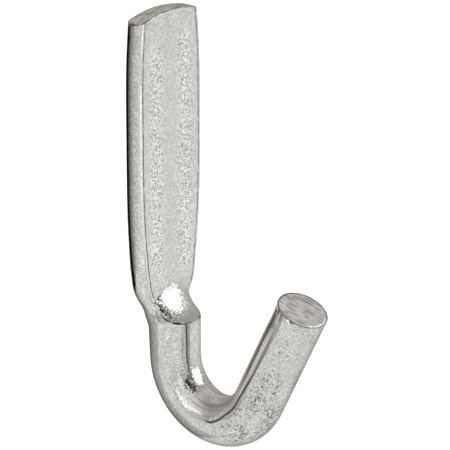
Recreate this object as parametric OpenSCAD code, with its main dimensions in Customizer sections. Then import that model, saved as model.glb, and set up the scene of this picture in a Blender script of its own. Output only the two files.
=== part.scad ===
// Weld-on tarp hook: one length of round bar, pressed flat at its upper end and bent to a J below.
// Millimetres. +X leads from the weld face out to the open side, +Y across, +Z up.
// The origin is the centre of the weld face, the flat back of the shank.

/* [Bar] */
// diameter of the round bar
rod_d = 9.525; // [8:0.025:11]
// depth to which the bar's back is pressed flush with the weld face
back_press = 0.2; // [0.1:0.05:0.6]

/* [Flat] */
// thickness of the pressed flat
flat_t = 3.75; // [3:0.05:4.5]
// width of the flat's front face between its two creases
flat_w = 16.4; // [14:0.1:20]
// swell of each pressed edge beyond its creases
edge_swell = 1.2; // [0.5:0.05:1.5]
// top of the flat, at its middle
flat_top = 30; // [26:0.1:40]
// radius of the sheared arch across the top
top_r = 27; // [16:0.5:80]

/* [Leaf outline] */
// level above which the edges draw in toward the top
side_hi = 14.5; // [8:0.5:18]
// draw-in of each edge at the top
top_draw = 1; // [0.3:0.1:2]
// level below which the edges draw in toward the bar
side_lo = 0.5; // [-6:0.5:6]
// level of the shoulder, where the taper turns in to the bar
shoulder_z = -22.5; // [-25:0.5:-18]
// draw-in of each edge down to the shoulder
shoulder_draw = 1.7; // [0.8:0.1:2.4]
// radius of the shoulder's turn
shoulder_r = 8; // [4:0.5:11]
// height above the bend at which the pressed edges die into the bar
blend_up = 0.3; // [0:0.1:4]

/* [Nose] */
// level of the nose's lip on the front of the bar
lip_z = -29.9; // [-33:0.1:-27]
// radius of the hollow that runs from the lip up to the flat
nose_r = 8.6; // [7.5:0.1:12]
// radius of the nose's crown from side to side
crown_r = 11.5; // [8:0.5:30]

/* [Hook] */
// level at which the straight bar enters the bend
bend_z = -37.5; // [-44:0.1:-36]
// radius of the bend along the bar's centre
bend_r = 10.8; // [8:0.1:16]
// lean of the arm outward from the vertical
arm_lean = 26.4; // [0:0.2:50]
// length of the straight arm after the bend
arm_len = 23.6; // [12:0.1:36]
// rounding of the arm's cut rim
rim_r = 0.45; // [0.1:0.05:1.2]

/* [Hidden] */
$fn = 96;
steel = [0.78, 0.78, 0.76];

// to a thousandth, so that arcs which meet share one section
function thou(v) = round(v * 1000) / 1000;
// to six figures
function six(v) = v == 0 ? 0 : let (k = pow(10, 5 - floor(log(abs(v))))) round(v * k) / k;

rod_r = rod_d / 2;
rod_x = rod_r - back_press;
half_w = flat_w / 2;
// radius of the swollen edge, through both creases
swell_r = thou((flat_t * flat_t / 4 + edge_swell * edge_swell) / (2 * edge_swell));

// upper edge arc, tangent to the parallel sides
upper_len = flat_top - side_hi;
upper_r = thou((upper_len * upper_len + top_draw * top_draw) / (2 * top_draw));
upper_a = asin(upper_len / upper_r) + 0.5;

// lower edge arc, tangent to the parallel sides and ending at the shoulder
lower_len = side_lo - shoulder_z;
lower_r = thou((lower_len * lower_len + shoulder_draw * shoulder_draw) / (2 * shoulder_draw));
lower_a = asin(lower_len / lower_r);

// reverse curve from the shoulder to the bar: a convex turn, then a hollow blend that ends upright
back_half = sqrt(rod_r * rod_r - rod_x * rod_x);
end_y = 0.93 * back_half;
end_z = bend_z + blend_up;
turn_in = half_w - shoulder_draw - end_y + shoulder_r * (1 - cos(lower_a));
turn_down = shoulder_z - end_z + shoulder_r * sin(lower_a);
turn_sum = (turn_in * turn_in + turn_down * turn_down) / (2 * turn_in);
blend_r = thou(turn_sum - shoulder_r);
blend_a = atan2(turn_down, turn_sum - turn_in);
turn_a = blend_a - lower_a;

// arc centres in the plane of the flat, as [across, up]
upper_c = [half_w - upper_r, side_hi];
lower_c = [half_w - lower_r, side_lo];
shoulder_c = lower_c + (lower_r - shoulder_r) * [cos(lower_a), -sin(lower_a)];
blend_c = shoulder_c + (shoulder_r + blend_r) * [cos(blend_a), -sin(blend_a)];

// each edge is a band this deep; the core between the bands overlaps half of each
band = 1.6;
core = band / 2;

// nose: a grooved wheel across the bar, let a little into the flat's plane
let_in = 0.15;
wheel_x = flat_t - let_in + nose_r;
lip_dx = rod_x + rod_r - wheel_x;
wheel_z = lip_z + sqrt(nose_r * nose_r - lip_dx * lip_dx);
wheel_half = rod_r + 2;

bend_sweep = 180 - arm_lean;

// lays a drawing of [across, up] upright, with its thickness along +X from the weld face
module upright() {
    rotate([90, 0, 90]) children();
}

// section of an outward edge at radius r: flat faces and a swollen rim
module edge_out(r) {
    intersection() {
        translate([r - band, 0]) square([band + edge_swell + 1, flat_t]);
        union() {
            translate([r - band, 0]) square([band - 0.25, flat_t]);
            translate([r + edge_swell - swell_r, flat_t / 2]) circle(r = swell_r);
        }
    }
}

// the same section turned inward, for the hollow blend
module edge_in(r) {
    translate([2 * r, 0]) mirror([1, 0]) edge_out(r);
}

// clears what a sweep of radius r carries past its starting line
module past_start(r) {
    translate([r - 2 * band, 0, -1]) cube([4 * band + edge_swell, 3, flat_t + 2]);
}

// shoulder about its own centre, with the hollow blend that follows it
module shoulder_and_blend() {
    rotate_extrude(angle = turn_a + 6) edge_out(shoulder_r);
    translate([shoulder_r + blend_r, 0, 0]) rotate([0, 0, 180]) rotate_extrude(angle = blend_a) edge_in(blend_r);
}

// lower edge about its own centre, with the shoulder that follows it
module lower_and_on() {
    rotate_extrude(angle = lower_a + 0.5) edge_out(lower_r);
    translate([lower_r - shoulder_r, 0, 0]) difference() {
        rotate([0, 0, -turn_a]) shoulder_and_blend();
        past_start(shoulder_r);
    }
}

// the swollen edge on the +Y side, from the top down to the bar
module edge_band() {
    upright() translate([upper_c.x, upper_c.y, 0]) rotate_extrude(angle = upper_a) edge_out(upper_r);
    translate([0, 0, side_lo]) linear_extrude(side_hi - side_lo) mirror([1, -1]) edge_out(half_w);
    upright() translate([lower_c.x, lower_c.y, 0]) difference() {
        rotate([0, 0, -lower_a]) lower_and_on();
        past_start(lower_r);
    }
}

// points along one arc of the outline, n steps from angle a to angle b
function arc(centre, r, a, b, n) =
    [for (i = [0:n]) centre + r * [cos(a + (b - a) * i / n), sin(a + (b - a) * i / n)]];

// the middle of the flat, between the two edge bands
module flat_core() {
    right = concat(
        arc(upper_c, upper_r - core, upper_a, 0, 8),
        arc(lower_c, lower_r - core, 0, -lower_a, 8),
        arc(shoulder_c, shoulder_r - core, -lower_a, -blend_a, 6),
        arc(blend_c, blend_r + core, 180 - blend_a, 180, 8)
    );
    n = len(right);
    left = [for (i = [n - 1:-1:0]) [-right[i].x, right[i].y]];
    upright() linear_extrude(flat_t) polygon(concat(right, left));
}

// what the shear takes off above the arched top
module top_shear() {
    wide = flat_w + 4 * edge_swell;
    difference() {
        translate([-1, -wide / 2, flat_top - top_r]) cube([flat_t + 2, wide, top_r + 5]);
        upright() translate([0, flat_top - top_r, -2]) cylinder(r = top_r, h = flat_t + 4);
    }
}

// the pressed flat, leaf-shaped from the front
module flat() {
    difference() {
        union() {
            flat_core();
            edge_band();
            mirror([0, 1, 0]) edge_band();
        }
        top_shear();
    }
}

// the die's crowned nose: a wheel across the bar with a hollow rim
module nose_wheel() {
    rotate([90, 0, 0]) rotate_extrude() difference() {
        translate([0, -wheel_half]) square([nose_r + crown_r, 2 * wheel_half]);
        translate([nose_r + crown_r, 0]) circle(r = crown_r);
    }
}

// straight bar between the bend and the flat, hollowed in front by the nose
module straight() {
    difference() {
        translate([rod_x, 0, bend_z]) cylinder(r = rod_r, h = wheel_z - bend_z);
        translate([wheel_x, 0, wheel_z]) nose_wheel();
    }
}

// round arm from the end of the bend, its cut rim a little rounded
module arm() {
    rim = arc([rod_r - rim_r, arm_len - rim_r], rim_r, 0, 90, 3);
    rotate_extrude() polygon(concat([[0, 0], [rod_r, 0]], rim, [[0, arm_len]]));
}

// turns about Y, with a second turn for the trace that six figures leave of the first
module lean(a) {
    rotate([0, a - atan2(six(sin(a)), six(cos(a))), 0]) rotate([0, a, 0]) children();
}

// the J about the bend's centre: arm and straight bar lean apart by equal turns, so both ends of the
// bend meet their bars alike, and the whole is then turned until the straight bar stands upright
module crook() {
    half_lean = arm_lean / 2;
    lean(half_lean) {
        lean(half_lean) {
            rotate([-90, 0, 0]) rotate_extrude(angle = bend_sweep) translate([bend_r, 0]) circle(r = rod_r);
            translate([bend_r, 0, 0]) arm();
        }
        lean(-half_lean) translate([-rod_x - bend_r, 0, -bend_z]) straight();
    }
}

// what the press takes off behind the weld face, over the height of the straight bar and the bend
module back_cut() {
    cut_low = bend_z - bend_r - rod_d;
    translate([-rod_d, -rod_d, cut_low]) cube([rod_d, 2 * rod_d, wheel_z + rod_d - cut_low]);
}

// the whole bar below the flat, its back flush with the weld face
module bar() {
    difference() {
        translate([rod_x + bend_r, 0, bend_z]) crook();
        back_cut();
    }
}

module hook() {
    color(steel) union() {
        flat();
        bar();
    }
}

hook();
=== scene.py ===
import math

import bmesh
import bpy
import numpy as np
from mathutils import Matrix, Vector


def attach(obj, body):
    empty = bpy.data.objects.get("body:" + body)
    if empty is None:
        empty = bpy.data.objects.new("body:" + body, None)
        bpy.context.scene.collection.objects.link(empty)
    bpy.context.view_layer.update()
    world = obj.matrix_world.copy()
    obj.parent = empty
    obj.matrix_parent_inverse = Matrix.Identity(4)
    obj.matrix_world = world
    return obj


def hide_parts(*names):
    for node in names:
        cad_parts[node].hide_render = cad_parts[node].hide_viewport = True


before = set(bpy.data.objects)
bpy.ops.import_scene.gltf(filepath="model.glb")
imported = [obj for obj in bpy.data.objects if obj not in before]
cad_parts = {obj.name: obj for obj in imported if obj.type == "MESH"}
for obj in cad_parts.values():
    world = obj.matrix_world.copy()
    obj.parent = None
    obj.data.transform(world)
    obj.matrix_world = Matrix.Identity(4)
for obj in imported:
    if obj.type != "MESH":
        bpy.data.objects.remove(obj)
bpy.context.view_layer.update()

# sizes of the hook in metres and radians, as in the part's source
BAR_R = 0.0047625
BAR_X = 0.0045625
FLAT_T = 0.00375
FLAT_HALF = 0.0082
FLAT_TOP = 0.030
TOP_R = 0.027
SIDE_HI = 0.0145
TOP_DRAW = 0.001
SIDE_LO = 0.0005
SHOULDER_Z = -0.0225
SHOULDER_DRAW = 0.0017
SHOULDER_R = 0.008
BEND_Z = -0.0375
BEND_R = 0.0108
ARM_LEAN = math.radians(26.4)
ARM_LEN = 0.0236
RIM_R = 0.00045
LIP_Z = -0.0299
NOSE_R = 0.0086
CROWN_R = 0.0115
NOSE_LET_IN = 0.00015

# the grooved wheel that hollows the nose: its axis lies across the bar
WHEEL_X = FLAT_T - NOSE_LET_IN + NOSE_R
WHEEL_Z = LIP_Z + math.sqrt(NOSE_R**2 - (BAR_X + BAR_R - WHEEL_X) ** 2)

# the arm's own axes, its end, and the length of bar from the bend's start to that end
ARM_OUT = np.array([math.cos(ARM_LEAN), 0, -math.sin(ARM_LEAN)])
ARM_UP = np.array([math.sin(ARM_LEAN), 0, math.cos(ARM_LEAN)])
ACROSS = np.array([0.0, 1.0, 0.0])
BEND_CENTRE = np.array([BAR_X + BEND_R, 0, BEND_Z])
TIP = BEND_CENTRE + BEND_R * ARM_OUT + ARM_LEN * ARM_UP
BAR_END = BEND_R * (math.pi - ARM_LEAN) + ARM_LEN


def rise(span, v):
    """Goes smoothly from nought to one as v crosses a span."""
    low, high = span
    t = np.clip((v - low) / (high - low), 0, 1)
    return t * t * (3 - 2 * t)


def fall(span, v):
    """Goes smoothly from one to nought as v crosses a span."""
    return 1 - rise(span, v)


def ridge(middle, half, v):
    """One at the middle, and soon nought on both sides of it."""
    return np.exp(-(((v - middle) / half) ** 2))


def unbent(points):
    """Places on the hook as if its bar were straight: out from the bend, across, and down along the bar."""
    q = points - BEND_CENTRE
    qx, qy, qz = q.T
    up_arm = q @ ARM_UP
    on_arm = (up_arm > 0) & (qx > 0)
    on_bend = ~on_arm & (qz < 0)
    out = np.where(on_arm, q @ ARM_OUT, np.where(on_bend, np.hypot(qx, qz), -qx)) - BEND_R
    along = np.where(on_bend, BEND_R * np.arctan2(-qz, -qx), -qz)
    along = np.where(on_arm, BAR_END - ARM_LEN + up_arm, along)
    return np.stack([out, qy, along], 1)


def arch_drop(y):
    """How far the sheared top lies below its middle."""
    return TOP_R - np.sqrt(TOP_R**2 - np.square(y))


def flat_edge(z):
    """Half the width of the flat's front face at a height, along the arcs of its outline."""
    upper_r = ((FLAT_TOP - SIDE_HI) ** 2 + TOP_DRAW**2) / (2 * TOP_DRAW)
    lower_r = ((SIDE_LO - SHOULDER_Z) ** 2 + SHOULDER_DRAW**2) / (2 * SHOULDER_DRAW)
    lower_a = math.asin((SIDE_LO - SHOULDER_Z) / lower_r)
    turn_y = FLAT_HALF - lower_r + (lower_r - SHOULDER_R) * math.cos(lower_a)
    turn_z = SIDE_LO - (lower_r - SHOULDER_R) * math.sin(lower_a)
    above = np.clip(z - SIDE_HI, 0, None)
    below = np.clip(SIDE_LO - np.maximum(z, SHOULDER_Z), 0, None)
    upper = FLAT_HALF - upper_r + np.sqrt(upper_r**2 - above**2)
    sides = upper - lower_r + np.sqrt(lower_r**2 - below**2)
    turn = turn_y + np.sqrt(np.clip(SHOULDER_R**2 - (turn_z - z) ** 2, 0, None))
    return np.where(z < SHOULDER_Z, turn, sides)


def nose_distances(co):
    """How far each point lies from the nose's hollow, and how far outside the round bar."""
    x, y, z = co.T
    hollow_r = NOSE_R + CROWN_R - np.sqrt(np.maximum(CROWN_R**2 - y**2, 0))
    return np.hypot(x - WHEEL_X, z - WHEEL_Z) - hollow_r, np.hypot(x - BAR_X, y) - BAR_R


def coordinates(mesh):
    co = np.empty(len(mesh.vertices) * 3, np.float32)
    mesh.vertices.foreach_get("co", co)
    return co.reshape(-1, 3).astype(float)


def normals(mesh):
    no = np.empty(len(mesh.vertices) * 3, np.float32)
    mesh.vertex_normals.foreach_get("vector", no)
    return no.reshape(-1, 3).astype(float)


def edge_pairs(mesh):
    pairs = np.empty(len(mesh.edges) * 2, np.int32)
    mesh.edges.foreach_get("vertices", pairs)
    return pairs.reshape(-1, 2)


def move_to(mesh, co):
    mesh.vertices.foreach_set("co", co.astype(np.float32).ravel())
    mesh.update()


def baked_mesh(obj, name):
    """The object's mesh with its modifiers applied, which are then removed."""
    bpy.context.view_layer.update()
    graph = bpy.context.evaluated_depsgraph_get()
    mesh = bpy.data.meshes.new_from_object(obj.evaluated_get(graph))
    mesh.name = name
    obj.modifiers.clear()
    obj.data = mesh
    return mesh


def relax(co, pairs, share, rounds):
    """Draws each point toward the middle of its neighbours, by its own share, a number of times."""
    n = len(co)
    a, b = pairs.T
    count = np.bincount(a, minlength=n) + np.bincount(b, minlength=n)
    for _ in range(rounds):
        middle = np.stack([
            np.bincount(a, co[b, k], n) + np.bincount(b, co[a, k], n) for k in range(3)
        ], 1) / count[:, None]
        co = co + share[:, None] * (middle - co)
    return co


# the even skin over the solid, and how many rounds soften its edges; the nose's lip stays crisper
SKIN_CELL = 0.00026
DOUBLES = 1e-6
EDGE_ROUNDS = 4
EDGE_SHARE = 0.5
LIP_SHARE = 0.35
LIP_NEAR = (0.0004, 0.0009)
LIP_BACK_X = 0.0045

# where the press has run the shoulders into the bar: heights, depth and place across
FORGE_ROUNDS = 36
FORGE_SHARE = 0.5
FORGE_FOOT = (-0.0425, -0.037)
FORGE_HEAD = (-0.029, -0.0245)
FORGE_DEPTH = (0.0052, 0.0066)
FORGE_SIDE = (0.0030, 0.0042)

# the plating, the fuller bar, and the spread of the arm's end toward the inside and the left
PLATING = 0.00003
BAR_FULLNESS = 0.00010
BAR_HEAD = (-0.027, -0.018)
OFF_BACK = (-0.9, -0.7)
LEFT_FACING = (0.1, 0.5)
TIP_FLARE = 0.00025
FLARE_LEN = 0.0035
FLARE_OUT, FLARE_ACROSS = -0.6, -0.8

# the left edge came out of the dies a little fuller: by how much, at which heights
LEFT_FULL_Z = (-0.038, -0.034, -0.030, -0.0275, -0.0250, -0.0225, -0.019, -0.014, -0.007, 0.0)
LEFT_FULL = (0.0, 0.00015, 0.00030, 0.00012, 0.00010, 0.00025, 0.00030, 0.00020, 0.00008, 0.0)

# the two cut ends: what is carried past them, how near to them the cuts reach, and their caps
CUT_SPARE = 0.0012
TIP_ROWS = 0.7 * RIM_R
ARCH_NEAR = 2e-5
TIP_NEAR = 0.009
TOP_NEAR = 0.006
CUT_DIST = 1e-8
CORNER_MERGE = 0.00008
CAP_STRIP = 0.0004
CAP_RING = 0.00055
CAP_RISE = 0.00014

# shallow dents
DENT_DEPTH = 0.00006
DENTS_PER_METRE = 260.0
DENT_SEED = 4.0


def drawn_out(mesh):
    """Carries both ends of the copy past their cuts, so that the skin can be cut clean there."""
    co = coordinates(mesh)
    out, across, along = unbent(co).T
    tip = along > BAR_END - TIP_ROWS
    wider = BAR_R / np.hypot(out, across) - 1
    longer = BAR_END + CUT_SPARE - along
    moved = np.outer(wider * out, ARM_OUT) + np.outer(wider * across, ACROSS) + np.outer(longer, ARM_UP)
    top = np.abs(co[:, 2] - (FLAT_TOP - arch_drop(co[:, 1]))) < ARCH_NEAR
    co[tip] += moved[tip]
    co[top, 2] += CUT_SPARE
    move_to(mesh, co)


def forge_blend(points):
    """How much the press has run the flat, the shoulders and the bar together at each point."""
    x, y, z = points.T
    belt = rise(FORGE_FOOT, z) * fall(FORGE_HEAD, z)
    return belt * fall(FORGE_DEPTH, x) * rise(FORGE_SIDE, np.abs(y))


def filled_out(co, no):
    """The plated skin: a trace over all, more on the bar, and the arm's end spread a little by the shear."""
    z = co[:, 2]
    out, across, along = unbent(co).T
    off_back = rise(OFF_BACK, no[:, 0])
    left = rise(LEFT_FACING, -no[:, 1]) * np.interp(z, LEFT_FULL_Z, LEFT_FULL)
    inner_left = np.clip((FLARE_OUT * out + FLARE_ACROSS * across) / BAR_R, 0, 1)
    flare = TIP_FLARE * inner_left * rise((BAR_END - FLARE_LEN, BAR_END), along)
    on_shank = co[:, 0] < FLAT_T + BAR_R
    grown = off_back * (PLATING + BAR_FULLNESS * fall(BAR_HEAD, z)) + left * on_shank + flare
    return co + grown[:, None] * no


def cut_off(solid, near, place, way, sheared):
    """Cuts away what lies beyond a plane, closes the cut with a raised cap, and gives the cap's parts."""
    verts = [v for v in solid.verts if near(v.co)]
    chosen = set(verts)
    edges = [e for e in solid.edges if chosen.issuperset(e.verts)]
    faces = [f for f in solid.faces if chosen.issuperset(f.verts)]
    cut = bmesh.ops.bisect_plane(solid, geom=verts + edges + faces, dist=CUT_DIST, plane_co=place,
                                 plane_no=way, clear_outer=True)
    corners = [v for v in cut["geom_cut"] if isinstance(v, bmesh.types.BMVert)]
    bmesh.ops.remove_doubles(solid, verts=corners, dist=CORNER_MERGE)
    rim = [e for e in solid.edges if e.is_boundary]
    caps = bmesh.ops.edgeloop_fill(solid, edges=rim)["faces"]
    for face in caps:
        face.normal_update()
        if face.normal.dot(Vector(way)) < 0:
            face.normal_flip()
    caps += bmesh.ops.inset_region(solid, faces=caps, thickness=CAP_RING, depth=CAP_RISE)["faces"]
    for face in caps:
        face[sheared] = 1.0
    return caps + list({e for f in caps for e in f.edges}) + list({v for f in caps for v in f.verts})


def shear_ends(mesh):
    """Cuts the skin square across the arm and along the arch of the top, with a crisp rim at each."""
    solid = bmesh.new()
    solid.from_mesh(mesh)
    sheared = solid.faces.layers.float.new("sheared")
    rim = solid.verts.layers.float.new("cut_rim")
    tip = Vector(TIP)
    cut_off(solid, lambda co: (co - tip).length < TIP_NEAR, TIP - CAP_RISE * ARM_UP, ARM_UP, sheared)

    # the arch is cut as a plane while the end of the flat is straightened, and the cap bends back with it
    low = FLAT_TOP - TOP_NEAR
    for vert in solid.verts:
        if vert.co.z > low:
            vert.co.z += arch_drop(vert.co.y)
    cap = cut_off(solid, lambda co: co.z > low, (0, 0, FLAT_TOP - CAP_RISE), (0, 0, 1), sheared)
    for y in np.arange(-FLAT_HALF, FLAT_HALF, CAP_STRIP):
        strips = bmesh.ops.bisect_plane(solid, geom=cap, dist=CUT_DIST, plane_co=(0, y, 0),
                                        plane_no=(0, 1, 0))
        cap = strips["geom"]
    for vert in solid.verts:
        straight = vert.co.z - arch_drop(vert.co.y)
        if straight > low:
            vert.co.z = straight

    for face in solid.faces:
        face.smooth = not face[sheared]
    for edge in solid.edges:
        if len({face[sheared] for face in edge.link_faces}) == 2:
            edge.smooth = False
            for vert in edge.verts:
                vert[rim] = 1.0
    solid.to_mesh(mesh)
    solid.free()


def feed(tree, socket, value):
    """Links another node's socket to this one, or sets a plain value."""
    if isinstance(value, bpy.types.NodeSocket):
        tree.links.new(value, socket)
    elif value is not None:
        socket.default_value = value


def new_group(name, inputs, outputs, kind="ShaderNodeTree"):
    group = bpy.data.node_groups.new(name, kind)
    for label, socket_type, value in inputs:
        socket = group.interface.new_socket(label, in_out="INPUT", socket_type=socket_type)
        if value is not None:
            socket.default_value = value
    for label, socket_type in outputs:
        group.interface.new_socket(label, in_out="OUTPUT", socket_type=socket_type)
    return group, group.nodes.new("NodeGroupInput"), group.nodes.new("NodeGroupOutput")


def math_node(tree, operation, a, b=None):
    node = tree.nodes.new("ShaderNodeMath")
    node.operation = operation
    for socket, value in zip(node.inputs, (a, b)):
        feed(tree, socket, value)
    return node.outputs[0]


def vector_math(tree, operation, a, b=None):
    node = tree.nodes.new("ShaderNodeVectorMath")
    node.operation = operation
    for socket, value in zip(node.inputs, (a, b)):
        feed(tree, socket, value)
    return node.outputs[0]


def scaled(tree, vector, factor):
    node = tree.nodes.new("ShaderNodeVectorMath")
    node.operation = "SCALE"
    feed(tree, node.inputs[0], vector)
    feed(tree, node.inputs["Scale"], factor)
    return node.outputs[0]


def ranged(tree, value, span, to=(0.0, 1.0)):
    """Goes smoothly from one value to another as the given one crosses a span."""
    node = tree.nodes.new("ShaderNodeMapRange")
    node.interpolation_type = "SMOOTHSTEP"
    feed(tree, node.inputs["Value"], value)
    for label, number in zip(("From Min", "From Max", "To Min", "To Max"), (*span, *to)):
        node.inputs[label].default_value = number
    return node.outputs["Result"]


def mixed(tree, share, a, b):
    """A colour between a and b, each a colour or a socket."""
    node = tree.nodes.new("ShaderNodeMix")
    node.data_type = "RGBA"
    for socket, value in ((node.inputs["Factor"], share), (node.inputs[6], a), (node.inputs[7], b)):
        feed(tree, socket, value)
    return node.outputs[2]


def noise_of(tree, vector, scale, detail=2.0):
    node = tree.nodes.new("ShaderNodeTexNoise")
    node.inputs["Detail"].default_value = detail
    feed(tree, node.inputs["Vector"], vector)
    feed(tree, node.inputs["Scale"], scale)
    return node.outputs["Fac"]


def cells_of(tree, vector, scale):
    """Cells of a pattern: a colour for each, its three channels apart, and the distance to its middle."""
    cells = tree.nodes.new("ShaderNodeTexVoronoi")
    feed(tree, cells.inputs["Vector"], vector)
    feed(tree, cells.inputs["Scale"], scale)
    apart = tree.nodes.new("ShaderNodeSeparateColor")
    feed(tree, apart.inputs[0], cells.outputs["Color"])
    return cells.outputs["Color"], apart.outputs, cells.outputs["Distance"]


def placed(tree, group, vector, **values):
    """A group's node at a place, with its other inputs named here with underscores."""
    node = tree.nodes.new("ShaderNodeGroup")
    node.node_tree = group
    feed(tree, node.inputs["Vector"], vector)
    for label, value in values.items():
        feed(tree, node.inputs[label.replace("_", " ")], value)
    return node.outputs


def bumped(tree, height, strength, distance, under):
    node = tree.nodes.new("ShaderNodeBump")
    node.inputs["Distance"].default_value = distance
    feed(tree, node.inputs["Height"], height)
    feed(tree, node.inputs["Strength"], strength)
    feed(tree, node.inputs["Normal"], under)
    return node.outputs["Normal"]


def attribute_of(tree, name, output="Fac"):
    node = tree.nodes.new("ShaderNodeAttribute")
    node.attribute_name = name
    return node.outputs[output]


def line_of(tree, name, line):
    """A thin line where the named distance passes nought, from its half width and its soft edge."""
    half, soft = line
    away = math_node(tree, "ABSOLUTE", attribute_of(tree, name))
    return ranged(tree, away, (half, half + soft), (1.0, 0.0))


def dent_tree():
    """Shallow uneven dents over the whole bar, pushed along its surface."""
    tree, given, result = new_group(
        "Shallow dents",
        [("Geometry", "NodeSocketGeometry", None), ("Dent depth", "NodeSocketFloat", None),
         ("Dents per metre", "NodeSocketFloat", None), ("Seed", "NodeSocketFloat", None),
         ("Finish", "NodeSocketMaterial", None)],
        [("Geometry", "NodeSocketGeometry")],
        "GeometryNodeTree",
    )
    tree.is_modifier = True
    new, link = tree.nodes.new, tree.links.new
    noise = new("ShaderNodeTexNoise")
    noise.noise_dimensions = "4D"
    noise.inputs["Detail"].default_value = 2.0
    link(new("GeometryNodeInputPosition").outputs[0], noise.inputs["Vector"])
    link(given.outputs["Seed"], noise.inputs["W"])
    link(given.outputs["Dents per metre"], noise.inputs["Scale"])

    # dents go inward only, so that the hook keeps its outer size
    below = math_node(tree, "SUBTRACT", noise.outputs["Fac"], 1.0)
    deep = math_node(tree, "MULTIPLY", below, given.outputs["Dent depth"])
    push = scaled(tree, new("GeometryNodeInputNormal").outputs[0], deep)

    moved = new("GeometryNodeSetPosition")
    real, finish = new("GeometryNodeRealizeInstances"), new("GeometryNodeSetMaterial")
    link(given.outputs["Geometry"], moved.inputs["Geometry"])
    link(push, moved.inputs["Offset"])
    link(moved.outputs[0], real.inputs["Geometry"])
    link(real.outputs[0], finish.inputs["Geometry"])
    link(given.outputs["Finish"], finish.inputs["Material"])
    link(finish.outputs[0], result.inputs["Geometry"])
    return tree


def set_inputs(modifier, **values):
    """Sets a node modifier's inputs, named here with underscores, by their sockets' identifiers."""
    for item in modifier.node_group.interface.items_tree:
        key = item.name.replace(" ", "_")
        if item.item_type == "SOCKET" and item.in_out == "INPUT" and key in values:
            modifier[item.identifier] = values[key]


# pits are drawn out along the bar and lie in clumps; rates are shares of the pits' own rate
PIT_SHAPE = (1.0, 1.0, 0.55)
CLUMP_RATE = 0.09
CLUMP_NOISE = (0.36, 0.62)
CLUMP_SHARE = (0.25, 1.0)
PIT_SIZE = (0.12, 0.33)
PIT_WALL = (0.0, 0.07)
PIT_DEPTH = (0.35, 1.0)
SCRATCH_RATE = 0.5
SCRATCH_STOP_RATE = 0.7
SCRATCH_WIDTH = (0.025, 0.065)
SCRATCH_SHARE = 0.6
SCRATCH_LEAST = 0.25
SCRATCH_END = (0.0, 0.05)
WHOLE = (0.0, 1.0)


def plating_facets():
    """Crystal facets of the zinc: the normal tilted from facet to facet, and a fleck of each."""
    tree, given, result = new_group(
        "Plating facets",
        [("Vector", "NodeSocketVector", None), ("Normal", "NodeSocketVector", None),
         ("Facets per metre", "NodeSocketFloat", 3600.0), ("Tilt", "NodeSocketFloat", 0.05)],
        [("Normal", "NodeSocketVector"), ("Fleck", "NodeSocketFloat")],
    )
    colour, channels, _ = cells_of(tree, given.outputs["Vector"], given.outputs["Facets per metre"])
    aside = vector_math(tree, "SUBTRACT", colour, (0.5, 0.5, 0.5))
    tip_over = scaled(tree, aside, math_node(tree, "MULTIPLY", given.outputs["Tilt"], 2.0))
    tilted = vector_math(tree, "ADD", given.outputs["Normal"], tip_over)
    feed(tree, result.inputs["Normal"], vector_math(tree, "NORMALIZE", tilted))
    feed(tree, result.inputs["Fleck"], channels[0])
    return tree


def worn_pits():
    """Clumps of small pits and short scribbled scratches: a mask of their floors."""
    tree, given, result = new_group(
        "Worn pits",
        [("Vector", "NodeSocketVector", None), ("Pits per metre", "NodeSocketFloat", 1500.0),
         ("Share", "NodeSocketFloat", 0.3)],
        [("Mask", "NodeSocketFloat")],
    )
    vector = vector_math(tree, "MULTIPLY", given.outputs["Vector"], PIT_SHAPE)
    rate = given.outputs["Pits per metre"]

    def times(a, b):
        return math_node(tree, "MULTIPLY", a, b)

    def less(a, b):
        return math_node(tree, "SUBTRACT", a, b)

    clump = ranged(tree, noise_of(tree, vector, times(rate, CLUMP_RATE)), CLUMP_NOISE, CLUMP_SHARE)
    share = times(given.outputs["Share"], clump)
    _, channels, distance = cells_of(tree, vector, rate)
    chosen = math_node(tree, "LESS_THAN", channels[0], share)
    size = ranged(tree, channels[1], WHOLE, PIT_SIZE)
    depth = ranged(tree, channels[2], WHOLE, PIT_DEPTH)
    pits = times(ranged(tree, less(size, distance), PIT_WALL), times(chosen, depth))

    # a scratch runs where one noise passes its middle, and another noise cuts it short
    line = noise_of(tree, vector, times(rate, SCRATCH_RATE))
    stop = noise_of(tree, vector, times(rate, SCRATCH_STOP_RATE))
    thin = ranged(tree, math_node(tree, "ABSOLUTE", less(line, 0.5)), SCRATCH_WIDTH, (1.0, 0.0))
    limit = math_node(tree, "ADD", times(share, SCRATCH_SHARE), SCRATCH_LEAST)
    scratch = times(thin, ranged(tree, less(limit, stop), SCRATCH_END))
    feed(tree, result.inputs["Mask"], math_node(tree, "MAXIMUM", pits, scratch))
    return tree


def drawn_streaks():
    """Fine streaks that run along the third axis of the place given."""
    tree, given, result = new_group(
        "Drawn streaks",
        [("Vector", "NodeSocketVector", None), ("Streaks per metre", "NodeSocketFloat", 900.0),
         ("Stretch", "NodeSocketFloat", 0.03)],
        [("Streak", "NodeSocketFloat")],
    )
    squeeze = tree.nodes.new("ShaderNodeCombineXYZ")
    for socket, value in zip(squeeze.inputs, (1.0, 1.0, given.outputs["Stretch"])):
        feed(tree, socket, value)
    longer = vector_math(tree, "MULTIPLY", given.outputs["Vector"], squeeze.outputs[0])
    feed(tree, result.inputs["Streak"], noise_of(tree, longer, given.outputs["Streaks per metre"], 3.0))
    return tree


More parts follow.
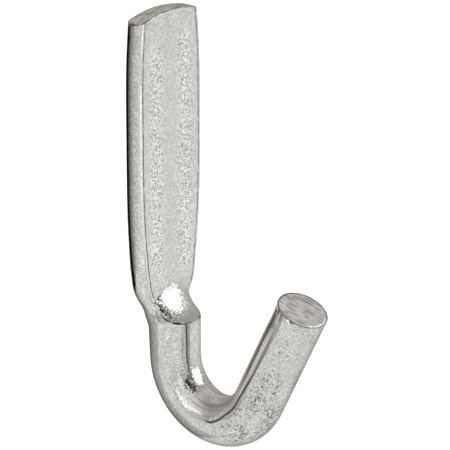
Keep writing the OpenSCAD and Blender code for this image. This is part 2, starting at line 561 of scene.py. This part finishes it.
# colours of the metal, with painted highlights, glints, reflection and shade among them
CLEAN_DARK = (0.635, 0.66, 0.645, 1)
CLEAN_LIGHT = (0.845, 0.87, 0.855, 1)
FLECK = (0.52, 0.515, 0.50, 1)
# per-facet light and dark for the flat's bands, partly painted glints
SPARK_DARK = (0.36, 0.375, 0.365, 1)
SPARK_LIGHT = (0.98, 1.0, 1.0, 1)
# painted highlight, for the edge crests and the ring inside each cut's rim
PAINTED_HIGHLIGHT = (0.90, 0.93, 0.92, 1)
SCORE_DARK = (0.27, 0.24, 0.22, 1)
SCORE_LIGHT = (1.0, 0.98, 0.965, 1)
RUBBED_DARK = (0.62, 0.585, 0.56, 1)
RUBBED_LIGHT = (1.0, 0.97, 0.945, 1)
# painted highlight line beside the seam
SEAM_HIGHLIGHT_PAINT = (1.0, 1.0, 1.0, 1)
# painted grey shade on the nose's right side
RIGHT_NOSE_SHADE = (0.60, 0.59, 0.575, 1)
# painted dark shade on the nose's left side
LEFT_NOSE_SHADE = (0.05, 0.048, 0.045, 1)
CUT_DARK = (0.61, 0.60, 0.59, 1)
CUT_LIGHT = (1.0, 1.0, 0.99, 1)
LINE_DARK = (0.07, 0.065, 0.06, 1)
PIT_DARK = (0.10, 0.097, 0.09, 1)
EDGE_TINT = (0.42, 0.41, 0.40, 1)

# patterns by the metre; streaks with their stretch, and noises with their detail
FACETS_PER_METRE = 4600.0
PITS_PER_METRE = 4300.0
DRAWN = (1000.0, 0.02)
SCRATCHED = (2400.0, 0.012)
SHORN = (1700.0, 0.28)
ROLLS_PER_METRE = 330.0
BREAKS_PER_METRE = 500.0
BLOTCH = (420.0, 3.0)
CLOUD = (300.0, 3.0)
GRAIN = (2300.0, 1.0)

# the way in which a rolled rim leans, and how far the normal is lifted that way
ROLLED_WAY = (0.35, 0.0, 0.94)
ROLL_LIFT = 0.8
BAND_LIFT = 0.02
CREST_LIFT = 0.22

# thin dark lines: half width and soft edge
CREASE_LINE = (0.00007, 0.00012)
LIP_LINE = (0.00010, 0.00018)
ARM_REFLECTION_LINE = (0.00008, 0.00012)
SEAM_LINE = (0.00017, 0.00012)

# spans of a pattern or a mask over which one look gives way to the next
ROLLED_PARTS = (0.50, 0.58)
ROLLED_RIM = (0.1, 0.5)
LINE_BREAKS = (0.30, 0.55)
LINE_STRENGTH = (0.35, 1.0)
RIM_SHADE_SPAN = (0.44, 0.62)
RIM_SHADE_STRENGTH = (0.12, 0.85)
MOTTLE_SPAN = (0.42, 0.58)
FLECK_SPAN = (0.45, 0.75)
FLECK_STRENGTH = (0.0, 0.75)
SPARK_SPAN = (0.20, 0.46)
SCORE_SPAN = (0.42, 0.55)
RUBBED_SPAN = (0.42, 0.56)
SPECKLE_SPAN = (0.12, 0.42)
TORN_SPAN = (0.42, 0.57)
RING_RIM = (0.10, 0.35)
RING_PARTS = (0.46, 0.56)
ROUGH_SPAN = (0.3, 0.7)
ROUGH_PLAIN = (0.06, 0.12)

# what the mottle and the torn faces are mixed from, and how strongly the last marks cover what is under them
CLOUD_SHARE, GRAIN_SHARE = 0.3, 0.7
SHORN_SHARE, BLOTCH_SHARE = 0.6, 0.4
RING_COVER = 0.85
LINE_COVER = 0.9
PIT_COVER = 0.9

# bumps: strength and depth in metres
STRIP_BUMP = (0.35, 0.0001)
TORN_BUMP = (0.5, 0.0002)
PIT_BUMP = (-0.5, 0.0001)

# the finishes, and the painted highlights and shade, that the surface's attributes give
MASKS = ("sheared", "rim", "tilt", "bands", "pitted", "crest_highlight", "strip", "seam_on", "lip_on", "score_on",
         "smear", "left_nose_shade", "right_nose_shade", "inside", "seam_highlight", "behind")


def zinc_plated_steel():
    material = bpy.data.materials.new("zinc_plated_steel")
    material.use_nodes = True
    tree = material.node_tree
    shader = tree.nodes["Principled BSDF"]
    shader.inputs["Metallic"].default_value = 1.0
    shader.inputs["Specular Tint"].default_value = EDGE_TINT

    def times(a, b):
        return math_node(tree, "MULTIPLY", a, b)

    def plus(a, b):
        return math_node(tree, "ADD", a, b)

    def larger(a, b):
        return math_node(tree, "MAXIMUM", a, b)

    def streaked(vector, rate, stretch):
        return placed(tree, streaks, vector, Streaks_per_metre=rate, Stretch=stretch)["Streak"]

    def speckled(mask):
        """A mask whose soft edges and body break up facet by facet."""
        return ranged(tree, plus(mask, math_node(tree, "SUBTRACT", fleck, 1.0)), SPECKLE_SPAN)

    coords = tree.nodes.new("ShaderNodeTexCoord")
    place, outward = coords.outputs["Object"], coords.outputs["Normal"]
    along_bar, shear_line = (attribute_of(tree, name, "Vector") for name in ("along_bar", "shear_line"))
    on = {name: attribute_of(tree, name) for name in MASKS}
    sheared, rim = on["sheared"], on["rim"]
    beside = math_node(tree, "SUBTRACT", 1.0, sheared)

    # the shear has rolled the rim over here and there
    rolls = times(ranged(tree, noise_of(tree, place, ROLLS_PER_METRE), ROLLED_PARTS), beside)
    rolls = times(rolls, ranged(tree, rim, ROLLED_RIM))
    on_front = plus(times(on["bands"], BAND_LIFT), times(on["crest_highlight"], CREST_LIFT))
    lifted = scaled(tree, ROLLED_WAY, plus(times(rolls, ROLL_LIFT), on_front))
    leaning = vector_math(tree, "ADD", outward, lifted)

    facets = placed(tree, plating_facets(), place, Normal=leaning, Facets_per_metre=FACETS_PER_METRE,
                    Tilt=on["tilt"])
    fleck = facets["Fleck"]
    pits = placed(tree, worn_pits(), along_bar, Pits_per_metre=PITS_PER_METRE, Share=on["pitted"])["Mask"]
    streaks = drawn_streaks()
    drawn, scratched = streaked(along_bar, *DRAWN), streaked(along_bar, *SCRATCHED)
    blotch, cloud, grain = (noise_of(tree, place, *noise) for noise in (BLOTCH, CLOUD, GRAIN))

    # dark lines: painted shade in the crease beside each edge and along the nose's lip, a painted reflection
    # line down the bar, the arm's seam, and painted shade round the cut rims
    broken = ranged(tree, noise_of(tree, place, BREAKS_PER_METRE), LINE_BREAKS, LINE_STRENGTH)
    # painted shade: a dark line in the crease beside each edge of the flat
    crease_shade = times(line_of(tree, "crease_off", CREASE_LINE), broken)
    # painted shade: a dark line along the nose's lip
    lip_shade = times(times(line_of(tree, "lip_off", LIP_LINE), on["lip_on"]), broken)
    arm_reflection = times(times(line_of(tree, "score_off", ARM_REFLECTION_LINE), on["score_on"]), broken)
    seam = times(line_of(tree, "seam_off", SEAM_LINE), on["seam_on"])
    # painted shade: a dark line round each cut's rim, strongest on the caps
    rim_shade = times(ranged(tree, rim, RIM_SHADE_SPAN), ranged(tree, sheared, WHOLE, RIM_SHADE_STRENGTH))
    lines = larger(times(larger(larger(crease_shade, lip_shade), larger(arm_reflection, seam)), beside), rim_shade)

    mottle = plus(times(cloud, CLOUD_SHARE), times(grain, GRAIN_SHARE))
    clean = mixed(tree, ranged(tree, mottle, MOTTLE_SPAN), CLEAN_DARK, CLEAN_LIGHT)
    clean = mixed(tree, ranged(tree, fleck, FLECK_SPAN, FLECK_STRENGTH), clean, FLECK)
    spark = mixed(tree, ranged(tree, fleck, SPARK_SPAN), SPARK_DARK, SPARK_LIGHT)
    scored = mixed(tree, ranged(tree, scratched, SCORE_SPAN), SCORE_DARK, SCORE_LIGHT)
    rubbed = mixed(tree, ranged(tree, scratched, RUBBED_SPAN), RUBBED_DARK, RUBBED_LIGHT)
    right_shade = speckled(on["right_nose_shade"])
    # in the flat's bands the facets' light and dark are partly painted glints, over their real extra tilt
    clean = mixed(tree, on["bands"], clean, spark)
    # laid over the plating: painted highlights on the crest and beside the seam, the strip's scratches, the
    # rubbed inner bend, and painted shade on the nose
    for mask, strength, finish in (
        (on["crest_highlight"], 0.8, PAINTED_HIGHLIGHT), (on["strip"], 0.9, scored), (on["inside"], 0.85, rubbed),
        (on["seam_highlight"], 0.9, SEAM_HIGHLIGHT_PAINT), (right_shade, 0.85, RIGHT_NOSE_SHADE), (speckled(on["left_nose_shade"]), 0.9, LEFT_NOSE_SHADE),
    ):
        clean = mixed(tree, times(mask, strength), clean, finish)

    torn = plus(times(streaked(shear_line, *SHORN), SHORN_SHARE), times(blotch, BLOTCH_SHARE))
    cut = mixed(tree, ranged(tree, torn, TORN_SPAN), CUT_DARK, CUT_LIGHT)
    # a painted highlight ring just inside each cut's rim, broken up here and there
    ring = times(ranged(tree, rim, RING_RIM), ranged(tree, cloud, RING_PARTS))
    cut = mixed(tree, times(ring, RING_COVER), cut, PAINTED_HIGHLIGHT)
    colour = mixed(tree, sheared, clean, cut)
    colour = mixed(tree, times(lines, LINE_COVER), colour, LINE_DARK)
    colour = mixed(tree, times(pits, PIT_COVER), colour, PIT_DARK)
    feed(tree, shader.inputs["Base Color"], colour)

    rough = ranged(tree, drawn, ROUGH_SPAN, ROUGH_PLAIN)
    for mask, duller in (
        (sheared, 0.20), (on["inside"], 0.32), (right_shade, 0.25), (on["crest_highlight"], 0.10),
        (on["smear"], 0.20), (on["strip"], 0.16), (on["behind"], 0.28), (pits, 0.25),
    ):
        rough = plus(rough, times(mask, duller))
    feed(tree, shader.inputs["Roughness"], rough)

    strength, depth = STRIP_BUMP
    lined = bumped(tree, scratched, times(times(on["strip"], beside), strength), depth, facets["Normal"])
    strength, depth = TORN_BUMP
    torn_face = bumped(tree, torn, times(sheared, strength), depth, lined)
    feed(tree, shader.inputs["Normal"], bumped(tree, pits, *PIT_BUMP, torn_face))
    return material


# the rims of the two cuts: how deep they show, and how much stronger their marks, the painted rim shade
# among them, are on their far sides
TOP_RIM_DEPTH = 0.0003
TIP_RIM_DEPTH = 0.0006
RIM_SKIP = 0.0001
FAR_RIM_GAIN = 2.2
FAR_RIM_OUT, FAR_RIM_ACROSS = -0.48, 0.88
TOP_RIM_SIDE = (0.0050, 0.0062)

# how far the plating's facets tilt
PLAIN_TILT = 0.030
FLAT_TILT = 0.015
BAND_TILT = 0.10
BAND_TILT_SLOPE = 3.0
NOSE_TILT = 0.07
BEND_TILT = 0.06

# the flat: spans of its normal, depth and height, the painted highlight on the crest and the painted shade
# line in the crease along each edge
FRONT_FACING = (0.2, 0.5)
FRONT_X = (FLAT_T - 0.0012, FLAT_T - 0.0006)
SHANK_FOOT = (-0.0268, -0.0255)
CREST_AT, CREST_HALF = 0.00015, 0.00026
CREST_LOSS, CREST_DULL = 0.65, (0.0165, 0.0185)
CREST_GAIN, CREST_BRIGHT = 0.35, (0.0215, 0.0235)
CREASE_IN = 0.00040
CREASE_NEAR_X = 0.0015
CREASE_FOOT = -0.0270
FAR_AWAY = 1.0
FLAT_FACING = (0.9, 0.97)
FLAT_FOOT = (-0.024, -0.020)
BACK_FACING = (0.6, 0.9)
BACK_FOOT = (-0.051, -0.046)

# the flat's sparkling bands, whose per-facet light and dark are partly painted glints: middle, half width,
# and the heights over which they fade
BANDS = ((-0.0041, 0.0025, (0.0210, 0.0270)), (0.0040, 0.0028, (0.0235, 0.0290)))

# the nose, with the two sides of its bright part by height, the painted dark shade on its left and the
# painted grey shade on its right
NOSE_BELOW = 0.001
NOSE_NEAR = (0.0003, 0.0006)
NOSE_Z = (-0.0295, -0.0287, -0.0270, -0.0260, -0.0248, -0.0232)
NOSE_LEFT = (-0.0032, -0.0032, -0.00275, -0.0030, -0.0031, -0.0024)
NOSE_RIGHT = (-0.0020, -0.0012, 0.0009, 0.0018, 0.0027, 0.0034)
LEFT_NOSE_SHADE_SIDE = (-0.0002, 0.0004)
LEFT_NOSE_SHADE_DOWN = (0.0244, 0.0254)
LEFT_NOSE_SHADE_IN = (0.00002, 0.00025)
RIGHT_NOSE_SHADE_SIDE = (-0.0003, 0.0006)
LIP_BACK = (0.0046, 0.0056)
LIP_FRONT_X = 0.0105
LIP_HEAD = (-0.0268, -0.0262)
LIP_BELOW = 0.0015

# the drawing die's seam on the arm: degrees round the bar from the inside of the bend, by length along it
SEAM_ALONG = (0.0173, 0.0193, 0.0231, 0.0238, 0.0302, 0.0350, 0.0378, 0.0426, 0.0488)
SEAM_ANGLE = (74.5, 76.0, 67.0, 65.0, 68.5, 74.0, 77.0, 80.5, 82.0)
SAME_SIDE = (0.3, 0.6)
SEAM_START = (0.0165, 0.0185)
SEAM_LOSS, SEAM_FADE = 0.45, (0.034, 0.040)

# a painted highlight line beside the seam, in radians from it, and the scratched strip on its inner side
SEAM_HIGHLIGHT_AT, SEAM_HIGHLIGHT_HALF = -0.22, 0.04
SEAM_HIGHLIGHT_START, SEAM_HIGHLIGHT_END = (0.019, 0.022), (0.029, 0.034)
SEAM_HIGHLIGHT_CREST = 0.8
STRIP_SIDE = (-0.0003, 0.0)
STRIP_START = (0.026, 0.032)

# a painted dark line down the front of the straight bar, standing in for the arm's reflection, with a
# rougher smear and a painted glint beside it
ARM_REFLECTION_ALONG = (-0.0078, -0.0015, 0.0015, 0.0040)
ARM_REFLECTION_ANGLE = (23.2, 23.3, 20.5, 20.0)
ARM_REFLECTION_START, ARM_REFLECTION_END = (-0.0078, -0.0070), (0.0025, 0.0040)
SMEAR_AT, SMEAR_HALF = 0.0003, 0.0009
GLINT_AT, GLINT_HALF = 0.00034, 0.00014
GLINT_START = (-0.0045, -0.0030)

# the bend's inner side, by the cosine round the bar and by length along it
WRAP_SIDE = (0.2, 0.6)
WRAP_START, WRAP_END = (0.0, 0.004), (0.010, 0.013)
INSIDE_SIDE = (0.42, 0.58)
INSIDE_START, INSIDE_END = (0.0100, 0.0125), (0.031, 0.036)

# the share of pits: a few everywhere, more on the bend and arm outside the seam, fewer toward the tip
PITS_PLAIN, PITS_MORE = 0.04, 0.48
PITS_START, PITS_SIDE = (0.012, 0.026), (0.0, 0.0012)
PITS_LOSS, PITS_FADE = 0.4, (0.037, 0.044)

# the way the blade went across the tip
BLADE_TURN = math.radians(20)


def rims(mesh, co, flat_place):
    """The rims of the cut ends, fading over the caps and down the sides."""
    rim = np.empty(len(co), np.float32)
    mesh.attributes["cut_rim"].data.foreach_get("value", rim)
    x, y, z = co.T
    out, across, along = flat_place.T
    on_top = z > 0
    depth = np.where(on_top, FLAT_TOP - arch_drop(y) - z, BAR_END - along) - CAP_RISE
    fade = np.where(on_top, TOP_RIM_DEPTH, TIP_RIM_DEPTH)
    far = np.where(on_top, 1 - 2 * x / FLAT_T, (FAR_RIM_ACROSS * across + FAR_RIM_OUT * out) / BAR_R)
    # the rim marks, painted rim shade and painted highlight ring among them, reach further on each cut's far
    # side
    rim *= 1 + FAR_RIM_GAIN * np.clip(far, 0, 1)
    side = np.where(depth > RIM_SKIP, 1 - depth / fade, 0)
    side = side * np.where(on_top, rise(TOP_RIM_SIDE, y), 1)
    return np.maximum(rim, side)


def shank_marks(co, no):
    """The flat: a painted highlight on the crest and a painted shade line in the crease along each edge, two
    sparkling bands whose glints are partly painted, the dull weld face.
    """
    x, y, z = co.T
    facing = no[:, 0]
    on_shank = rise(SHANK_FOOT, z)
    from_crease = np.abs(y) - flat_edge(z)
    front = rise(FRONT_FACING, facing) * rise(FRONT_X, x)
    # a painted highlight along each edge's crest, weaker at middle heights and stronger near the top, with
    # its normal lifted
    crest_highlight = front * on_shank * ridge(CREST_AT, CREST_HALF, from_crease)
    crest_highlight *= 1 - CREST_LOSS * rise(CREST_DULL, z) + CREST_GAIN * rise(CREST_BRIGHT, z)
    # where the painted shade line along each crease is drawn
    by_crease = (np.abs(x - FLAT_T) < CREASE_NEAR_X) & (z > CREASE_FOOT)
    crease_off = np.where(by_crease, from_crease + CREASE_IN * on_shank, FAR_AWAY)

    on_flat = on_shank * rise(FLAT_FACING, facing) * rise(FLAT_FOOT, z)
    bands = sum(ridge(middle, half, y) * fall(fade, z) for middle, half, fade in BANDS)
    tilt = on_flat * (FLAT_TILT + (BAND_TILT - BAND_TILT_SLOPE * y) * bands)
    behind = rise(BACK_FACING, -facing) * rise(BACK_FOOT, z) * (x < FLAT_T)
    return {"crest_highlight": crest_highlight, "crease_off": crease_off, "bands": on_flat * bands, "behind": behind,
            "tilt": tilt}


def nose_marks(co):
    """The nose: painted dark shade on its left, painted grey shade on its right, and the line of its lip,
    drawn as painted shade.
    """
    x, y, z = co.T
    from_hollow, from_bar = nose_distances(co)
    by_nose = (x > FLAT_T) & (z < WHEEL_Z) & (z > LIP_Z - NOSE_BELOW) & (np.abs(y) < BAR_R)
    nose = by_nose * fall(NOSE_NEAR, np.abs(from_hollow))
    # painted shade: the nose's left side is painted near black
    left_nose_shade = nose * rise(LEFT_NOSE_SHADE_SIDE, np.interp(z, NOSE_Z, NOSE_LEFT) - y) * rise(LEFT_NOSE_SHADE_DOWN, -z)
    left_nose_shade *= rise(LEFT_NOSE_SHADE_IN, -from_bar)
    # painted shade: the nose's right side is painted grey
    right_nose_shade = nose * rise(RIGHT_NOSE_SHADE_SIDE, y - np.interp(z, NOSE_Z, NOSE_RIGHT))
    lip_on = rise(LIP_BACK, x) * (x < LIP_FRONT_X) * fall(LIP_HEAD, z) * (z > LIP_Z - LIP_BELOW)
    return {"left_nose_shade": left_nose_shade, "right_nose_shade": right_nose_shade, "lip_on": lip_on, "lip_off": -(from_hollow + from_bar),
            "tilt": NOSE_TILT * nose}


def bar_marks(flat_place):
    """The round bar: its painted reflection line and seam, the painted glint and highlight beside them, the
    strip and the bend's inner side, and its pits.
    """
    out, across, along = flat_place.T
    around = np.arctan2(-across, -out)

    from_seam = around - np.radians(np.interp(along, SEAM_ALONG, SEAM_ANGLE))
    seam_off = BAR_R * np.sin(from_seam)
    by_seam = rise(SAME_SIDE, np.cos(from_seam))
    seam_on = by_seam * rise(SEAM_START, along) * (1 - SEAM_LOSS * rise(SEAM_FADE, along))
    # a painted highlight line beside the seam, also carried into the crest's painted highlight
    seam_highlight = ridge(SEAM_HIGHLIGHT_AT, SEAM_HIGHLIGHT_HALF, from_seam) * rise(SEAM_HIGHLIGHT_START, along) * fall(SEAM_HIGHLIGHT_END, along)
    strip = by_seam * fall(STRIP_SIDE, seam_off) * rise(STRIP_START, along)

    # a painted dark line where the arm shows in the bar, a rougher smear about it, and a painted glint
    # beside it
    from_arm_reflection = around - np.radians(np.interp(along, ARM_REFLECTION_ALONG, ARM_REFLECTION_ANGLE))
    score_off = BAR_R * np.sin(from_arm_reflection)
    score_on = rise(SAME_SIDE, np.cos(from_arm_reflection)) * rise(ARM_REFLECTION_START, along) * fall(ARM_REFLECTION_END, along)
    smear = score_on * ridge(SMEAR_AT, SMEAR_HALF, score_off)
    glint = score_on * ridge(GLINT_AT, GLINT_HALF, score_off) * rise(GLINT_START, along)

    # the bend's inner side, roughened where the bar was wrapped round its former
    inward = np.cos(around)
    wrapped = rise(WRAP_SIDE, inward) * rise(WRAP_START, along) * fall(WRAP_END, along)
    inside = rise(INSIDE_SIDE, inward) * rise(INSIDE_START, along) * fall(INSIDE_END, along)

    pitted = PITS_PLAIN + PITS_MORE * rise(PITS_START, along) * rise(PITS_SIDE, seam_off)
    pitted *= 1 - PITS_LOSS * rise(PITS_FADE, along)
    return {"seam_off": seam_off, "seam_on": seam_on, "seam_highlight": seam_highlight, "strip": strip,
            "score_off": score_off, "score_on": score_on, "smear": smear, "inside": inside, "pitted": pitted,
            "crest_highlight": np.maximum(glint, SEAM_HIGHLIGHT_CREST * seam_highlight), "tilt": BEND_TILT * wrapped}


def surface_marks(co, no, flat_place):
    """Where the finishes and the painted highlights and shade lie, as shares of each, and the distances from
    the lines that are drawn on it.
    """
    shank, nose, bar = shank_marks(co, no), nose_marks(co), bar_marks(flat_place)
    crest_highlight = np.maximum(shank["crest_highlight"], bar["crest_highlight"])
    tilt = PLAIN_TILT + shank["tilt"] + nose["tilt"] + bar["tilt"]
    return shank | nose | bar | {"crest_highlight": crest_highlight, "tilt": tilt}


def shear_lines(co, flat_place):
    """Places on the cut ends, with the way the blade went as the third axis."""
    x, y, z = co.T
    out, across, along = flat_place.T
    with_blade = out * math.cos(BLADE_TURN) + across * math.sin(BLADE_TURN)
    aside = across * math.cos(BLADE_TURN) - out * math.sin(BLADE_TURN)
    tip = np.stack([aside, along, with_blade], 1)
    top = np.stack([x, z, y], 1)
    return np.where((z > 0)[:, None], top, tip)


def forged_hook(finish):
    """The CAD solid under an even skin, its creases a little rounded as plating and pressing leave them."""
    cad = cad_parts["hook"]
    hook = bpy.data.objects.new("forged_hook", cad.data.copy())
    hook.data.materials.clear()
    bpy.context.scene.collection.objects.link(hook)
    solid = bmesh.new()
    solid.from_mesh(hook.data)
    bmesh.ops.remove_doubles(solid, verts=solid.verts, dist=DOUBLES)
    solid.to_mesh(hook.data)
    solid.free()
    drawn_out(hook.data)

    skin = hook.modifiers.new("Even skin", "REMESH")
    skin.mode = "VOXEL"
    skin.voxel_size = SKIN_CELL
    mesh = baked_mesh(hook, "even_skin")

    pairs, co = edge_pairs(mesh), coordinates(mesh)
    from_hollow, from_bar = nose_distances(co)
    by_lip = fall(LIP_NEAR, np.abs(from_hollow) + np.abs(from_bar)) * (co[:, 0] > LIP_BACK_X)
    co = relax(co, pairs, EDGE_SHARE - LIP_SHARE * by_lip, EDGE_ROUNDS)
    co = relax(co, pairs, FORGE_SHARE * forge_blend(co), FORGE_ROUNDS)
    move_to(mesh, co)
    move_to(mesh, filled_out(co, normals(mesh)))
    shear_ends(mesh)

    dents = hook.modifiers.new("Shallow dents", "NODES")
    dents.node_group = dent_tree()
    set_inputs(dents, Dent_depth=DENT_DEPTH, Dents_per_metre=DENTS_PER_METRE, Seed=DENT_SEED, Finish=finish)
    mesh = baked_mesh(hook, "forged_hook")

    co, no = coordinates(mesh), normals(mesh)
    flat_place = unbent(co)
    marks = surface_marks(co, no, flat_place)
    marks["rim"] = rims(mesh, co, flat_place)
    for name, values in marks.items():
        mesh.attributes.new(name, "FLOAT", "POINT").data.foreach_set("value", values.astype(np.float32))
    for name, places in (("along_bar", flat_place), ("shear_line", shear_lines(co, flat_place))):
        line = mesh.attributes.new(name, "FLOAT_VECTOR", "POINT")
        line.data.foreach_set("vector", places.astype(np.float32).ravel())
    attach(hook, "root")
    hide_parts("hook")


# the room, and the backdrop that the camera sees
FLOOR_Z = -0.21
FLOOR_SIDE = 8.0
PAPER = (0.88, 0.88, 0.87, 1)
PAPER_ROUGH = 0.9
PAPER_SHINE = 0.1
WALL = (0.64, 0.61, 0.58, 1)
CEILING = (0.47, 0.455, 0.44, 1)
CEILING_SPAN = (0.05, 0.8)
BACKDROP = (0.83, 0.825, 0.81, 1)

# light
SUN_STRENGTH = 1.42
SUN_SPREAD = math.radians(40)
WHITE = (1.0, 1.0, 1.0)
WARM = (1.0, 0.965, 0.935)

# what the shank's left edge mirrors: tones by azimuth about a place on that edge, lifted toward the foot
EDGE_PLACE = Vector((0.0024, -0.0093, 0.0))
EDGE_AZIMUTHS = (28, 57, 93, 104, 120, 140, 166, 200)
EDGE_REACH = (0.030, 0.030, 0.030, 0.030, 0.030, 0.022, 0.012, 0.007)
EDGE_TONES = (0.88, 0.76, 0.62, 0.48, 0.34, 0.20, 0.0, 0.0)
EDGE_ROWS = (-0.038, -0.034, -0.022, -0.010, 0.05)
EDGE_LIFTS = (1.28, 1.28, 1.12, 1.0, 1.0)

# how far the rays that the upright bar and edge mirror to the camera go down, by length outward
RAY_SLOPE = 0.358

# over which place on the bend a small bright card leans
GLINT_PLACE = Vector((0.0110, -0.0041, -0.0333))

# the photograph's view
VIEW_TARGET = Vector((0.016834, 0.0, -0.008986))
VIEW_BACK = Vector((0.60489, -0.72111, 0.33780))
VIEW_DISTANCE = 0.62943
VIEW_LENS = 272.4
SENSOR = 36.0
CLIP_NEAR, CLIP_FAR = 0.01, 50


def pale_floor():
    bpy.ops.mesh.primitive_plane_add(size=FLOOR_SIDE, location=(0, 0, FLOOR_Z))
    floor = bpy.context.object
    floor.name = "pale_floor"
    material = bpy.data.materials.new("pale_paper")
    material.use_nodes = True
    shader = material.node_tree.nodes["Principled BSDF"]
    shader.inputs["Base Color"].default_value = PAPER
    shader.inputs["Roughness"].default_value = PAPER_ROUGH
    shader.inputs["Specular IOR Level"].default_value = PAPER_SHINE
    floor.data.materials.append(material)


def toward(azimuth, elevation, distance):
    """A place seen from the hook: azimuth from +X toward -Y, and elevation, in degrees."""
    a, e = math.radians(azimuth), math.radians(elevation)
    return Vector((math.cos(a) * math.cos(e), -math.sin(a) * math.cos(e), math.sin(e))) * distance


def softbox(name, azimuth, elevation, distance, wide, high, radiance):
    """A soft light that faces the hook and shows in the metal, but not to the camera."""
    lamp = bpy.data.lights.new(name, "AREA")
    lamp.shape = "RECTANGLE"
    lamp.size, lamp.size_y = wide, high
    lamp.energy = radiance * math.pi * wide * high
    box = bpy.data.objects.new(name, lamp)
    bpy.context.scene.collection.objects.link(box)
    box.location = toward(azimuth, elevation, distance)
    box.rotation_euler = (-box.location).to_track_quat("-Z", "Y").to_euler()
    box.visible_camera = box.visible_diffuse = False
    return box


def card(name, columns, tint=WHITE):
    """A studio card that only shows in the metal. A column gives places in a row, each with its tone."""
    rows = len(columns[0])
    corners = range((len(columns) - 1) * rows)
    faces = [(i, i + 1, i + rows + 1, i + rows) for i in corners if (i + 1) % rows]
    mesh = bpy.data.meshes.new(name)
    mesh.from_pydata([place for column in columns for place, tone in column], [], faces)
    shades = mesh.attributes.new("tone", "FLOAT", "POINT")
    shades.data.foreach_set("value", [tone for column in columns for place, tone in column])
    board = bpy.data.objects.new(name, mesh)
    bpy.context.scene.collection.objects.link(board)
    material = bpy.data.materials.new(name)
    material.use_nodes = True
    tree = material.node_tree
    tree.nodes.clear()
    glow, out = tree.nodes.new("ShaderNodeEmission"), tree.nodes.new("ShaderNodeOutputMaterial")
    glow.inputs["Color"].default_value = (*tint, 1)
    tree.links.new(attribute_of(tree, "tone"), glow.inputs["Strength"])
    tree.links.new(glow.outputs[0], out.inputs["Surface"])
    mesh.materials.append(material)
    board.visible_camera = board.visible_diffuse = board.visible_shadow = False


def standing_card(name, first, last, low, high, tone, far_tone, tint):
    """An upright card from one place on the floor plan to another."""
    ends = ((first, tone), (last, far_tone))
    card(name, [[((*plan, low), shade), ((*plan, high), shade)] for plan, shade in ends], tint)


def tilted_card(name, azimuths, elevations, distance, tone):
    """A card that stands off from the hook between two azimuths and two elevations."""
    card(name, [[(toward(a, e, distance), tone) for e in elevations] for a in azimuths])


def edge_card(name):
    """A curved card about the shank's left edge: darker and nearer toward the back, lighter at its foot."""
    columns = []
    for azimuth, reach, tone in zip(EDGE_AZIMUTHS, EDGE_REACH, EDGE_TONES):
        x, y, _ = EDGE_PLACE + toward(azimuth, 0, reach)
        up = RAY_SLOPE * (EDGE_REACH[0] - reach)
        columns.append([((x, y, z + up), tone * lift) for z, lift in zip(EDGE_ROWS, EDGE_LIFTS)])
    card(name, columns, WARM)


def leaning_card(name, azimuths, reaches, tone):
    """A card that slopes as the rays from the straight bar do, so that only the bend below shows it."""
    columns = []
    for azimuth in azimuths:
        places = [GLINT_PLACE + toward(azimuth, 0, reach) for reach in reaches]
        columns.append([((x, y, z - RAY_SLOPE * reach), tone) for (x, y, z), reach in zip(places, reaches)])
    card(name, columns)


def room():
    """Walls and ceiling that show in the metal, behind a paler backdrop for the camera."""
    world = bpy.data.worlds.new("studio")
    bpy.context.scene.world = world
    world.use_nodes = True
    tree = world.node_tree
    apart = tree.nodes.new("ShaderNodeSeparateXYZ")
    tree.links.new(tree.nodes.new("ShaderNodeTexCoord").outputs["Generated"], apart.inputs[0])
    walls = mixed(tree, ranged(tree, apart.outputs["Z"], CEILING_SPAN), WALL, CEILING)
    seen = tree.nodes.new("ShaderNodeLightPath").outputs["Is Camera Ray"]
    tree.links.new(mixed(tree, seen, walls, BACKDROP), tree.nodes["Background"].inputs["Color"])


def studio():
    room()
    softbox("right_softbox", azimuth=-29, elevation=25, distance=0.8, wide=1.02, high=0.71, radiance=1.6)
    softbox("left_softbox", azimuth=98, elevation=19, distance=0.8, wide=0.42, high=0.52, radiance=0.95)
    tilted_card("dark_card_front", azimuths=(8, 80), elevations=(17, 62), distance=0.7, tone=0.05)
    edge_card("edge_card_left")
    leaning_card("glint_card", azimuths=(98, 112), reaches=(0.020, 0.010), tone=1.3)
    standing_card("grey_card_left", first=(-0.041, -0.053), last=(-0.08, 0.05), low=-0.15, high=-0.046,
                  tone=0.62, far_tone=0.22, tint=WARM)

    sun = bpy.data.lights.new("floor_light", "SUN")
    sun.energy = SUN_STRENGTH
    sun.angle = SUN_SPREAD
    lamp = bpy.data.objects.new("floor_light", sun)
    bpy.context.scene.collection.objects.link(lamp)
    lamp.visible_glossy = False
    back = softbox("backdrop_light", azimuth=-128, elevation=20, distance=0.75, wide=0.6, high=0.6,
                   radiance=1.3)
    back.rotation_euler = (0, 0, 0)
    back.visible_diffuse = True
    back.visible_glossy = False


def photo_camera():
    lens = bpy.data.cameras.new("photo_camera")
    lens.sensor_width = SENSOR
    lens.lens = VIEW_LENS
    lens.clip_start, lens.clip_end = CLIP_NEAR, CLIP_FAR
    camera = bpy.data.objects.new("photo_camera", lens)
    bpy.context.scene.collection.objects.link(camera)
    camera.location = VIEW_TARGET + VIEW_BACK.normalized() * VIEW_DISTANCE
    camera.rotation_euler = (-VIEW_BACK).to_track_quat("-Z", "Y").to_euler()
    bpy.context.scene.camera = camera


forged_hook(zinc_plated_steel())
pale_floor()
studio()
photo_camera()
bpy.context.scene.view_settings.view_transform = "Standard"
